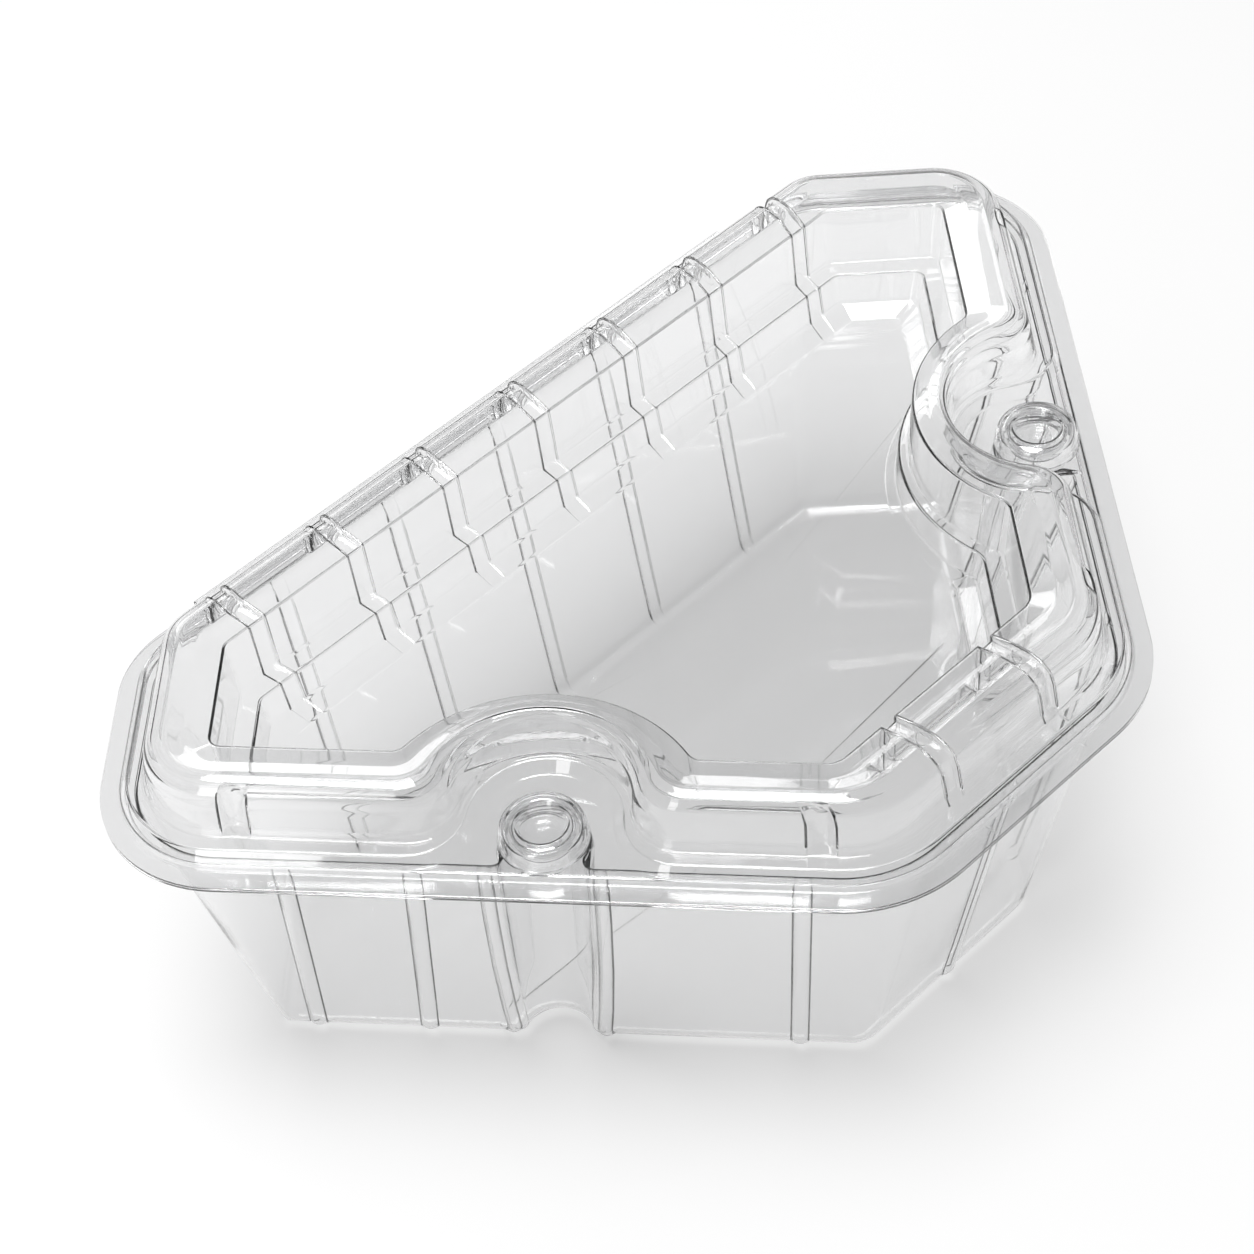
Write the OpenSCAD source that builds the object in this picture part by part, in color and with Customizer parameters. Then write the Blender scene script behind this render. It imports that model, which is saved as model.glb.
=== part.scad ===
// Clear hinged tray for fruit: a deep six-sided tray with outward ribs, and a
// lid with a raised hollow rim, a sunk centre and two round snap buttons.
// The lid turns about the bead along the back edge of the flange.
// Z is up, the front (the short cut-off corner) faces -Y, and the origin is
// at the middle of the box on the surface that the tray stands on.

/* [Plan of the flange] */
// Distance of the front edge from the origin
front_d = 74; // [70:0.5:80]
// Distance of the two long legs from the origin
leg_d = 73; // [70:0.5:76]
// Distance of the two short edges from the origin
short_d = 113; // [110:0.5:118]
// Distance of the back edge, where the lid is hinged, from the origin
hinge_d = 72.6; // [70:0.2:78]
// Turn of a leg's outward direction away from the front's
leg_turn = 50; // [46:0.5:53]
// Turn of a short edge's outward direction away from the front's
short_turn = 136; // [133:0.5:138]
// Corner radius between the front and a leg
front_r = 28; // [22:0.5:32]
// Corner radius between a leg and a short edge
side_r = 24; // [20:0.5:28]
// Corner radius between a short edge and the back
back_r = 20; // [16:0.5:24]

/* [Sheet] */
// Thickness of the formed sheet
sheet = 0.5; // [0.4:0.05:0.6]
// Gap between the lid's flange and the tray's flange when shut
flange_gap = 0.2; // [0.1:0.05:0.4]

/* [Tray] */
// Height of the tray from its floor to the top of its flange
tray_h = 72; // [60:1:90]
// Width of the flat lip of the flange
lip_w = 3.6; // [3:0.1:4.2]
// Height of the low bead inside the tray's lip
bead_h = 1; // [0.6:0.1:1.1]
// Inset of the tray wall at its top
wall_top = 7.2; // [6.8:0.1:8]
// Inset of the tray wall at the floor, on every side but the back
wall_foot = 21.5; // [18:0.5:24]
// Inset of the back wall at the floor
back_foot = 16.5; // [14:0.5:20]
// Radius between the walls and the floor
floor_r = 3.5; // [2:0.25:5]
// Width of an outward rib on the walls
rib_w = 2.8; // [2:0.1:3.5]
// How far the ribs stand out from the walls
rib_out = 1; // [0.6:0.1:1.4]
// Distance of a leg's first rib from the end of the front corner, at the top
front_rib = 4; // [3:0.1:6]
// Distance along a leg from the origin's foot to its middle rib, at the top
mid_rib = 47.7; // [45:0.1:50]
// Distance of a leg's last rib from the start of the side corner, at the top
side_rib = 14; // [12:0.1:16]
// Distance between the ribs on the back wall
back_pitch = 28; // [24:0.5:30]
// Radius of the half-round recess under a button, at the flange
recess_top_r = 8.6; // [8.4:0.1:9.4]
// Radius of the half-round recess at the floor
recess_foot_r = 7; // [6:0.1:7.5]

/* [Lid] */
// Height of the pocket floor around a button above the tray's flange
pocket_h = 2.3; // [2:0.1:2.6]
// Height of the step that the raised rim stands on
step_h = 4.4; // [4:0.1:5]
// Height of the raised rim above the tray's flange
rim_h = 15.1; // [13:0.1:18]
// Inset of the step's upper edge
step_in = 5.5; // [5:0.1:6]
// Inset of the foot of the raised rim
rim_foot = 8.4; // [8:0.1:9]
// Inset of the crown line of the rim
crown_in = 17.2; // [16.5:0.1:18]
// Inset of the inner edge of the rim
rim_in = 21.3; // [20.5:0.1:22]
// Extra width of the rim along the front
front_more = 2.6; // [1:0.1:3.5]
// Inset of the inner edge of the upper ledge
ledge_in = 26.5; // [25.5:0.1:27.5]
// Depth of the lower ledge's outer edge below the tray's flange
well_h = 6.6; // [5:0.1:8]
// Depth of the lid's sunk centre below the tray's flange
centre_h = 8.2; // [8:0.1:10]
// Inset of the lid's sunk centre
centre_in = 31.4; // [30.5:0.1:33]
// Width of a notch that crosses the rim
notch_w = 3.6; // [2.5:0.1:4.5]
// Depth of a notch that crosses the rim
notch_d = 1.3; // [0.8:0.1:1.6]
// Distance between notches along the back
notch_pitch = 24; // [20:0.2:25]
// Distance of each front notch from the middle
front_notch = 12.5; // [10:0.5:14]
// Width of an upright groove on a leg's outer wall
groove_w = 5; // [4:0.1:6]
// Depth of an upright groove
groove_d = 1.6; // [1:0.1:2]
// Distance of a groove beside the front corner from the end of that corner
front_groove = 2.6; // [2.5:0.1:6]
// Distance of a groove beside the side corner from the start of that corner
side_groove = 4; // [3.6:0.1:8]

/* [Buttons] */
// Distance along a leg from the origin's foot to the button
button_s = 28.5; // [26:0.5:31]
// Inset of the button's middle from the flange edge
button_in = 12.2; // [11.8:0.1:12.8]
// Radius of the button's base
button_r = 8.2; // [7.8:0.1:8.4]
// Height of the button above the pocket floor
button_h = 4.4; // [3.8:0.1:5]
// Radius of the funnel's mouth in the button
funnel_r = 4.2; // [3.8:0.1:4.5]
// Radius of the funnel's flat bottom
funnel_foot_r = 3.1; // [2.6:0.1:3.4]
// Clearance between the tray's stud and the lid's button
stud_gap = 0.45; // [0.4:0.05:0.5]
// Inset of the middle of the bay that the rim makes around a button
bay_in = 4.5; // [4:0.1:5]
// Radius of the bay at the pocket floor
bay_r = 16; // [15.6:0.1:16.4]

/* [Hinge] */
// Radius of the hinge bead
bead_r = 0.7; // [0.55:0.05:0.8]
// Length of the hinge bead
bead_l = 140; // [120:1:150]
// Gap between the hinge bead and the lid's flange
hinge_gap = 0.3; // [0.25:0.05:0.4]

/* [Hidden] */
clear = [0.86, 0.89, 0.9, 0.45];

// Steps of the corners, fillets, bays and round parts, and the least corner radius
corner_n = [5, 7, 4, 4, 7, 5];
fillet_n = 3;
arc_n = 12;
round_n = 64;
corner_min = 1.2;
// How far a leg's ribs and its recess lean along it for each unit of inset
front_lean = 0.25;
mid_lean = 0.5;
side_lean = 0.4;
recess_lean = 0.32;
// How far the grooves lean away from the corners inside the rim's outer wall
front_groove_lean = 0.46;
side_groove_lean = 0.72;
// Fillets of the recess, at the wall and on the bead, and its depth at the floor
recess_fillet = 1.2;
bead_fillet = 1.7;
recess_deep = 1.5;
// Width of the bead's outer slope and the set-back of its inner edge
bead_slope = 0.6;
bead_back = 0.5;
// Share of a rib's or groove's width, and width of a notch, that its ramp takes
rib_soft = 0.3;
groove_soft = 0.25;
notch_soft = 0.5;
// Share of the wall's height over which the ribs begin to stand out
rib_start = 0.04;
// Flat strip that ties the hinge bead to the flange
strap_in = 0.6;
strap_w = 0.8;
// Height of the funnel's bottom above the pocket floor
funnel_h = 0.9;
// Inset from which the grooves lean, at the top of the rim's outer wall
groove_from = rim_foot + 1.4;
// Width of the slope between the lid's lip and the edge of its pocket
pocket_edge = 0.9;
// Most that the under skin's corners move, as a share of the sheet, and its
// least fillet
under_most = 0.75;
fillet_min = 0.5;
// How far the hole in the pocket reaches under the button's wall, and half the
// height of the round holes' cutters
hole_under = 0.7;
hole_reach = 2;
// Slant of the stud's wall and width of its bevels
stud_slant = 0.3;
stud_bevel = 0.3;

// Outward direction and distance of the six sides, seen from above and going
// round against the clock: front, leg, short edge, back, short edge, leg
side_a = [-90, -90 + leg_turn, -90 + short_turn, 90, 270 - short_turn, 270 - leg_turn];
side_d = [front_d, leg_d, short_d, hinge_d, short_d, leg_d];
corner_r = [front_r, side_r, back_r, back_r, side_r, front_r];
// The bead's axis lies midway between the two flanges, just outside them
axis_y = hinge_d + bead_r;
axis_z = tray_h + flange_gap/2;
lid_back = bead_r + hinge_gap;

function dir(a) = [cos(a), sin(a)];
function side_t(i) = [-sin(side_a[i]), cos(side_a[i])];
// The point at distance s along side i, o inside the flange edge
function at(i, s, o) = (side_d[i] - o)*dir(side_a[i]) + s*side_t(i);
// Where sides i and j cross, each moved in by its own inset
function meet(i, oi, j, oj) =
    let (a = dir(side_a[i]), b = dir(side_a[j]), p = side_d[i] - oi, q = side_d[j] - oj,
         k = a[0]*b[1] - a[1]*b[0])
    [(p*b[1] - q*a[1])/k, (q*a[0] - p*b[0])/k];
// The rounded corner between side i and the next, with concentric radii
function corner(i, ins) =
    let (j = (i + 1)%6, turn = (side_a[j] - side_a[i] + 360)%360,
         r = max(corner_r[i] - (ins[i] + ins[j])/2, corner_min),
         c = meet(i, ins[i], j, ins[j]) - r*(dir(side_a[i]) + dir(side_a[j]))/(1 + cos(turn)))
    [for (k = [0:corner_n[i]]) c + r*dir(side_a[i] + turn*k/corner_n[i])];
// Where the straight part of side i begins and ends, as distances along it
function side_start(i, ins) = let (c = corner((i + 5)%6, ins)) c[len(c) - 1]*side_t(i);
function side_end(i, ins) = corner(i, ins)[0]*side_t(i);

// One bay as [distance along the side, inset] pairs: a circle of radius r
// about inset m, blended into the straight edge at inset o by fillets of f
function bay_curve(o, r, f, m) =
    let (h = o + f - m, d = r + f, a = asin(h/d), w = sqrt(d*d - h*h),
         blend = [for (k = [0:fillet_n]) let (q = (90 - a)*k/fillet_n - 90)
             [f*cos(q) - w, o + f + f*sin(q)]])
    concat(blend,
           [for (k = [1:arc_n - 1]) let (b = 180 - a - (180 - 2*a)*k/arc_n) [r*cos(b), m + r*sin(b)]],
           [for (k = [fillet_n:-1:0]) [-blend[k][0], blend[k][1]]]);
// The same points laid on the straight edge, where a ring has no bay
function bay_flat(o, like) = [for (p = like) [p[0], o]];

// A notch, groove or rib as four points: two on the edge and two set in or out
function cut_points(i, s, w, o, z, in, up, soft) =
    [for (p = [[-w/2, 0], [-w/2 + soft, 1], [w/2 - soft, 1], [w/2, 0]])
        let (q = at(i, s + p[0], o + in*p[1])) [q[0], q[1], z + up*p[1]]];

// A feature is [distance, kind, lean, inset from which it leans, datum]. Kind 0
// is a bay, kind 1 a notch or rib and kind 2 a groove. The distance along the
// side is taken from its middle, or from the corner before (-1) or after (1) it.
function middle(s, kind, lean = 0) = [s, kind, lean, 0, 0];
function feature_s(f, i, ins) =
    f[0] + f[2]*max(ins[i] - f[3], 0)
    + (f[4] < 0 ? side_start(i, ins) : f[4] > 0 ? side_end(i, ins) : 0);
// The same feature on the mirrored side
function mirrored(f) = [-f[0], f[1], -f[2], f[3], -f[4]];
function mirror_all(fs) = [for (k = [len(fs) - 1:-1:0]) mirrored(fs[k])];

function ring(r, feats) =
    [for (i = [0:5]) let (o = r_ins(r)[i], z = r_z(r)) each concat(
        [for (f = feats[i]) let (s = feature_s(f, i, r_ins(r))) each (
            f[1] == 0 ? [for (p = r_bay(r, o)) let (q = at(i, s + p[0], p[1])) [q[0], q[1], z]]
            : f[1] == 1 ? cut_points(i, s, r_notch(r)[0], o, z, r_notch(r)[1], r_notch(r)[2], r_notch(r)[3])
            : cut_points(i, s, groove_w, o, z, r_groove(r), 0, groove_w*groove_soft))],
        [for (q = corner(i, r_ins(r))) [q[0], q[1], z]])];

// A ring record: height, insets of the six sides, bay [r, fillet, middle] or
// the bay of the ring it lies straight along, notch [width, in, up, soft], groove in
function r_z(r) = r[0];
function r_ins(r) = r[1];
function r_bay(r, o) =
    let (b = r[2])
    b[0] > 0 ? bay_curve(o, b[0], b[1], b[2]) : bay_flat(o, bay_curve(b[3], -b[0], b[1], b[2]));
function r_notch(r) = r[3];
function r_groove(r) = r[4];

// The under skin: each ring moved by the sheet's thickness across the profile
function under(rs, t) =
    [for (k = [0:len(rs) - 1])
        let (a = rs[max(k - 1, 0)], b = rs[k], c = rs[min(k + 1, len(rs) - 1)],
             u = k > 0 ? step_dir(a, b) : step_dir(b, c), v = k < len(rs) - 1 ? step_dir(b, c) : [1, 0],
             n = [u[1] + v[1], -u[0] - v[0]], m = min(t*2/(n[0]*n[0] + n[1]*n[1]), t*under_most),
             e = n[0]*m, dz = n[1]*m, bay = b[2])
        [b[0] + dz, [for (x = b[1]) x + e],
         bay[0] > 0 ? [bay[0] + e, max(bay[1] - e, fillet_min), bay[2], bay[3]] : bay,
         b[3], b[4]]];
function step_dir(a, b) = let (d = [b[1][1] - a[1][1], b[0] - a[0]]) d/norm(d);

// The two triangles of the quad a, b, c, d
function quad(a, b, c, d) = [[a, d, c], [a, c, b]];

// A thin closed shell from rings listed from the flange's edge inward
module shell(rs, feats, t) {
    bs = under(rs, t);
    top = [for (r = rs) ring(r, feats)];
    low = [for (r = bs) ring(r, feats)];
    n = len(top[0]);
    k = len(rs);
    low0 = k*n;
    mid_top = 2*k*n;
    mid_low = mid_top + 1;
    polyhedron(
        points = concat([for (r = top) each r], [for (r = low) each r],
                        [[0, 0, top[k - 1][0][2]], [0, 0, low[k - 1][0][2]]]),
        faces = concat(
            [for (j = [0:k - 2], i = [0:n - 1]) let (a = j*n + i, b = j*n + (i + 1)%n)
                each quad(a, b, b + n, a + n)],
            [for (j = [0:k - 2], i = [0:n - 1]) let (a = low0 + j*n + i, b = low0 + j*n + (i + 1)%n)
                each quad(a, a + n, b + n, b)],
            [for (i = [0:n - 1]) let (a = i, b = (i + 1)%n) each quad(a, low0 + a, low0 + b, b)],
            [for (i = [0:n - 1]) [mid_top, (k - 1)*n + (i + 1)%n, (k - 1)*n + i]],
            [for (i = [0:n - 1]) [mid_low, low0 + (k - 1)*n + i, low0 + (k - 1)*n + (i + 1)%n]]),
        convexity = 12);
}

function even(o) = [o, o, o, o, o, o];

// The tray: its features side by side, its rings and its module
leg_feats = [
    [front_rib, 1, front_lean, 0, -1],
    middle(button_s - recess_lean*wall_top, 0, recess_lean),
    middle(mid_rib, 1, mid_lean),
    [-side_rib, 1, side_lean, 0, 1]];
tray_feats = [
    [middle(0, 1)],
    leg_feats,
    [],
    [for (k = [-2:2]) middle(k*back_pitch, 1)],
    [],
    mirror_all(leg_feats)];
function rib(out) = [rib_w, -out, 0, rib_w*rib_soft];
tray_flat_bay = [-recess_top_r, recess_fillet, button_in, wall_top];
// A ring of the wall, the share f of the way down from the flange to the floor
function tray_wall(f) =
    let (o = wall_top + (wall_foot - wall_top)*f, b = wall_top + (back_foot - wall_top)*f,
         r = recess_top_r + (recess_foot_r - recess_top_r)*f,
         m = o + (button_in - wall_top)*(1 - f) - recess_deep*f)
    [tray_h - (tray_h - floor_r)*f, [o, o, o, b, o, o], [r, recess_fillet, m, o],
     rib(f > rib_start ? rib_out : 0), 0];
// A ring of the rounding between the walls and the floor, q degrees round it
function tray_round(q) =
    let (w = tray_wall(1), c = floor_r*(1 - cos(q)), z = floor_r*(1 - sin(q)))
    [z + sheet, [for (x = w[1]) x + c], [w[2][0] + c, recess_fillet, w[2][2], 0],
     rib(rib_out*(1 - q/90)), 0];
tray_rings = concat(
    [[tray_h, even(0), tray_flat_bay, rib(0), 0],
     [tray_h, even(lip_w + bead_slope), tray_flat_bay, rib(0), 0],
     [tray_h + bead_h, even(lip_w + 2*bead_slope), tray_flat_bay, rib(0), 0],
     [tray_h + bead_h, even(wall_top - bead_back),
      [recess_top_r - bead_back, bead_fillet, button_in, 0], rib(0), 0]],
    [for (f = [0, 0.08, 0.3, 0.6, 0.85]) tray_wall(f)],
    [for (q = [0, 30, 60, 90]) tray_round(q)]);

module tray() {
    color(clear) {
        difference() {
            shell(tray_rings, tray_feats, sheet);
            for (i = [1, 5])
                at_button(i)
                    cylinder(h = 2*hole_reach, r = stud_r - sheet/2, center = true, $fn = round_n);
        }
        for (i = [1, 5])
            at_button(i)
                stud();
        hinge_bead();
    }
}

// Places its child at the button of side i, at the height of the bead's top
module at_button(i) {
    p = at(i, i == 1 ? button_s : -button_s, button_in);
    translate([p[0], p[1], tray_h + bead_h])
        children();
}

// The stud's radii and heights above the bead: one sheet and a gap inside the button
stud_r = button_r - sheet - stud_gap;
stud_top = pocket_h + button_h - sheet - stud_gap - bead_h;
stud_well = pocket_h + funnel_h - sheet - stud_gap - bead_h;
stud_in = funnel_r + sheet + stud_gap;

// The tray's stud: a hollow ring with a sunk middle, inside the lid's button
module stud() {
    t = sheet*0.8;
    side_r0 = stud_r - stud_slant;
    well_r = stud_in - stud_slant/3;
    rotate_extrude($fn = round_n)
        polygon([
            [stud_r, -sheet],
            [stud_r, 0],
            [side_r0, stud_top - stud_bevel],
            [side_r0 - stud_bevel, stud_top],
            [stud_in + stud_bevel, stud_top],
            [stud_in, stud_top - stud_bevel],
            [well_r, stud_well],
            [0, stud_well],
            [0, stud_well - t],
            [well_r + t, stud_well - t],
            [stud_in + t, stud_top - t],
            [side_r0 - t, stud_top - t],
            [stud_r - t, -sheet]]);
}

// The rolled bead along the back that the lid folds about
module hinge_bead() {
    translate([0, axis_y, axis_z])
        rotate([0, 90, 0])
            cylinder(h = bead_l, r = bead_r, center = true, $fn = round_n/2);
    translate([-bead_l/2, hinge_d - strap_in, tray_h - sheet])
        cube([bead_l, strap_w, sheet]);
}

// The lid: its features side by side, its rings and its module
lid_leg_feats = [
    [front_groove, 2, front_groove_lean, groove_from, -1],
    middle(button_s, 0),
    [-side_groove, 2, -side_groove_lean, groove_from, 1]];
lid_feats = [
    [middle(-front_notch, 1), middle(front_notch, 1)],
    lid_leg_feats,
    [],
    [for (k = [-3:3]) middle(k*notch_pitch, 1)],
    [],
    mirror_all(lid_leg_feats)];
function lid_ins(o, more) = [o + more, o, o, o, o, o];
// The lid's rings: height above the tray's flange, inset, share of the extra
// front width, bay radius (0 for none), its fillet, notch in and up, groove
lid_profile = [
    [flange_gap + sheet, 0, 0, 0, 3, 0, 0, 0],
    [flange_gap + sheet, lip_w, 0, 0, 3, 0, 0, 0],
    [pocket_h, lip_w + 0.6, 0, 0, 3, 0, 0, 0],
    [pocket_h + 0.05, lip_w + pocket_edge, 0, bay_r, 3, 0, 0, 0],
    [step_h - 0.4, step_in - 0.5, 0, bay_r + 1.3, 3.4, 0, 0, 0],
    [step_h, step_in, 0, bay_r + 1.9, 3.6, 0, 0, 0],
    [step_h, rim_foot, 0, bay_r + 4.4, 4.5, 0, 0, 0],
    [step_h + 0.8, rim_foot + 0.4, 0, bay_r + 4.9, 4.8, notch_d, 0, groove_d],
    [rim_h - 4.6, rim_foot + 1.4, 0, bay_r + 6.4, 5, notch_d, 0, groove_d],
    [rim_h - 2.4, rim_foot + 2.4, 0.1, bay_r + 7.4, 5, notch_d*0.9, -notch_d*0.5, groove_d*0.8],
    [rim_h - 0.9, rim_foot + 4.4, 0.4, bay_r + 8.8, 5, notch_d*0.4, -notch_d*0.9, 0],
    [rim_h - 0.2, rim_foot + 6.4, 0.7, bay_r + 9.9, 5, 0, -notch_d, 0],
    [rim_h, crown_in, 1, bay_r + 11, 5, 0, -notch_d, 0],
    [rim_h - 0.3, rim_in, 1, bay_r + 14.8, 3, -notch_d*0.7, -notch_d*0.7, 0],
    [0.3, rim_in + 1.5, 1, bay_r + 16.3, 3, -notch_d, 0, 0],
    [0, ledge_in, 1, bay_r + 18, 4, -notch_d*0.7, -notch_d*0.7, 0],
    [-well_h, ledge_in + 1.1, 1, bay_r + 18.6, 4, -notch_d, 0, 0],
    [-centre_h, centre_in, 1, bay_r + 20.6, 4, 0, 0, 0]];
lid_flat_bay = [-bay_r, 3, bay_in, lip_w + pocket_edge];
lid_rings = [for (p = lid_profile) [
    tray_h + p[0],
    p[1] == 0 ? [0, 0, 0, lid_back, 0, 0] : lid_ins(p[1], front_more*p[2]),
    p[3] > 0 ? [p[3], p[4], bay_in, 0] : lid_flat_bay,
    [notch_w, p[5], p[6], notch_soft], p[7]]];

module lid() {
    color(clear) {
        difference() {
            shell(lid_rings, lid_feats, sheet);
            for (i = [1, 5])
                at_button(i)
                    cylinder(h = 3*hole_reach, r = button_r - hole_under, center = true, $fn = round_n);
        }
        for (i = [1, 5])
            at_button(i)
                translate([0, 0, pocket_h - bead_h])
                    button();
    }
}

// The lid's snap button: a rounded ring with a funnel in its middle
module button() {
    t = sheet;
    h = button_h;
    rotate_extrude($fn = round_n)
        polygon([
            [button_r, -t],
            [button_r, 0.2],
            [button_r - 0.35, h - 2],
            [button_r - 0.8, h - 0.9],
            [button_r - 1.6, h - 0.2],
            [button_r - 2.4, h],
            [funnel_r + 0.7, h - 0.2],
            [funnel_r, h - 0.9],
            [funnel_foot_r, funnel_h],
            [0, funnel_h],
            [0, funnel_h - t],
            [funnel_foot_r + 0.35, funnel_h - t],
            [funnel_r + t, h - 1.2],
            [funnel_r + 0.9, h - 0.2 - t],
            [button_r - 2.4, h - t],
            [button_r - 1.8, h - 0.2 - t],
            [button_r - 0.8 - t*0.8, h - 0.9 - t*0.6],
            [button_r - 0.35 - t, h - 2.1],
            [button_r - t*0.9, -t]]);
}

tray();
lid();
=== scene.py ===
"""Clear hinged fruit tray with a raised-rim lid, dressed for a studio photograph.

The sheet is modelled as it is formed: one skin lofted from rings that follow the
six-sided plan, rounded along its profile, and given the thickness of the sheet.
"""

import math

import bpy
import numpy as np
from mathutils import Matrix, Vector


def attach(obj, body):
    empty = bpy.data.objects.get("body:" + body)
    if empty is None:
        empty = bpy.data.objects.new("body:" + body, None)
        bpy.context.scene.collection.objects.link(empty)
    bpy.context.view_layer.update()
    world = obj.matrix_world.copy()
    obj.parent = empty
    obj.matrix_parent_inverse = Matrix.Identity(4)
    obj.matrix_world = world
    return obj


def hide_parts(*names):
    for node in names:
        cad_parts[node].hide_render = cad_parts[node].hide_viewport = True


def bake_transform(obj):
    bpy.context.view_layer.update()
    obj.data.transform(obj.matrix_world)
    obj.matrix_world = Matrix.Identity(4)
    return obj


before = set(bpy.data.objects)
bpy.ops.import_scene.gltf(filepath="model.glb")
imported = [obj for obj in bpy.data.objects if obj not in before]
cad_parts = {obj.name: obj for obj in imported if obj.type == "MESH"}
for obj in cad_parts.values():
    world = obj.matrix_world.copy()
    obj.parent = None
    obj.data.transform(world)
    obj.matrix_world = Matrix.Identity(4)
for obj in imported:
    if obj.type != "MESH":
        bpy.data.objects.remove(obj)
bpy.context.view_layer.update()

# Sizes are in millimetres, in the frame of the part, and become metres in make_mesh
MM = 0.001
IMAGE_SIDE = 1254

# Plan of the flange: front, leg, short edge, back, short edge, leg
SIDE_TURN = [-90, -40, 46, 90, 134, 220]
SIDE_OUT = [74, 73, 113, 72.6, 113, 73]
CORNER_R = [28, 24, 20, 20, 24, 28]
CORNER_STEPS = [14, 18, 12, 12, 18, 14]
CORNER_MIN = 2.2
SHEET = 0.5
FLANGE_GAP = 0.2

# Tray
TRAY_H = 72
LIP_W = 3.6
BEAD_H = 1
WALL_TOP = 7.2
WALL_FOOT = 21.5
BACK_FOOT = 16.5
FLOOR_R = 3.5
RIB_W = 2.8
RIB_OUT = 1
EDGE_RIB_W = 2.0
EDGE_RIB_GAP = 0.05
FRONT_RIB = 4
MID_RIB = 47.7
SIDE_RIB = 14
BACK_PITCH = 28
FRONT_LEAN = 0.25
MID_LEAN = 0.5
SIDE_LEAN = 0.4
RECESS_LEAN = 0.32
RECESS_TOP_R = 8.6
RECESS_FOOT_R = 7
RECESS_BLEND = 1.2
RECESS_DEEP = 1.5

# Lid
POCKET_H = 2.3
STEP_H = 4.4
RIM_H = 15.1
STEP_IN = 5.5
RIM_FOOT = 8.4
CROWN_IN = 17.2
RIM_IN = 21.3
FRONT_MORE = 2.6
LEDGE_IN = 26.5
WELL_H = 6.6
CENTRE_H = 8.2
CENTRE_IN = 31.4
NOTCH_W = 3.6
NOTCH_D = 1.3
NOTCH_SOFT = 0.5
NOTCH_PITCH = 24
NOTCH_LEAN = 0.07
FRONT_NOTCH = 12.5
GROOVE_W = 5
GROOVE_D = 1.6
FRONT_GROOVE = 2.6
SIDE_GROOVE = 4
FRONT_GROOVE_LEAN = 0.46
SIDE_GROOVE_LEAN = 0.4

# Snap buttons
BUTTON_S = 28.5
BUTTON_IN = 12.2
BUTTON_R = 8.2
BUTTON_H = 4.4
FUNNEL_R = 4.2
FUNNEL_FOOT_R = 3.1
FUNNEL_FLOOR = 0.9
STUD_GAP = 0.45
# Where the flat middle of a turned piece starts
MIDDLE_R = 0.8

# Hinge fold
HINGE_R = 0.7
HINGE_L = 140
HINGE_GAP = 0.3


def outward(side):
    turn = math.radians(SIDE_TURN[side])
    return np.array([math.cos(turn), math.sin(turn)])


def along(side):
    turn = math.radians(SIDE_TURN[side])
    return np.array([-math.sin(turn), math.cos(turn)])


def on_side(side, distance, inset):
    """Plan points at a distance along a side, each inset from the flange's edge."""
    distance = np.asarray(distance, float)
    inset = np.broadcast_to(np.asarray(inset, float), distance.shape)
    return (SIDE_OUT[side] - inset)[:, None]*outward(side) + distance[:, None]*along(side)


def corner(side, insets):
    """The rounded corner between a side and the next one, with concentric radii."""
    after = (side + 1) % 6
    a, b = outward(side), outward(after)
    reach = np.array([SIDE_OUT[side] - insets[side], SIDE_OUT[after] - insets[after]])
    meeting = np.linalg.solve(np.array([a, b]), reach)
    radius = max(CORNER_R[side] - (insets[side] + insets[after])/2, CORNER_MIN)
    turn = (SIDE_TURN[after] - SIDE_TURN[side]) % 360
    middle = meeting - radius*(a + b)/(1 + math.cos(math.radians(turn)))
    steps = CORNER_STEPS[side]
    angles = np.radians(SIDE_TURN[side] + turn*np.arange(steps + 1)/steps)
    return middle + radius*np.c_[np.cos(angles), np.sin(angles)]


def straight_part(side, insets):
    """Where the straight part of a side begins and ends, as distances along it."""
    start = corner((side + 5) % 6, insets)[-1] @ along(side)
    end = corner(side, insets)[0] @ along(side)
    return start, end


FILLET_STEPS = 7
BAY_STEPS = 40


def bay_curve(inset, radius, fillet, middle):
    """A bay as distances along the side and insets: an arc blended into the edge."""
    rise = inset + fillet - middle
    span = radius + fillet
    lean = math.asin(rise/span)
    half = math.sqrt(span*span - rise*rise)
    q = -math.pi/2 + (math.pi/2 - lean)*np.arange(FILLET_STEPS + 1)/FILLET_STEPS
    entry = np.c_[-half + fillet*np.cos(q), inset + fillet + fillet*np.sin(q)]
    b = math.pi - lean - (math.pi - 2*lean)*np.arange(1, BAY_STEPS)/BAY_STEPS
    arc = np.c_[radius*np.cos(b), middle + radius*np.sin(b)]
    leave = entry[::-1]*[-1, 1]
    return np.vstack([entry, arc, leave])


class Ring:
    """One ring of a shell: its height, insets, bay, notch and groove."""

    def __init__(self, z, insets, bay, notch=(0, 0), groove=0, cut=0.0, steps=4):
        self.z = z
        self.insets = insets
        self.bay = bay
        self.notch = notch
        self.groove = groove
        self.cut = cut
        self.steps = steps


# How evenly a bay's points are spread where it lies straight along the edge
EVEN_SHARE = 0.15


def bay_points(ring, side):
    """The bay of a ring, or the same points in order along its straight edge."""
    radius, fillet, middle, like = ring.bay
    inset = ring.insets[side]
    if radius > 0:
        return bay_curve(inset, radius, fillet, middle)
    curve = bay_curve(like, -radius, fillet, middle)
    ahead = np.maximum.accumulate(curve[:, 0])
    back = np.minimum.accumulate(curve[::-1, 0])[::-1]
    even_steps = np.linspace(curve[0, 0], curve[-1, 0], len(curve))
    spread = (1 - EVEN_SHARE)*(ahead + back)/2 + EVEN_SHARE*even_steps
    return np.c_[spread, np.full(len(curve), inset)]


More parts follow.
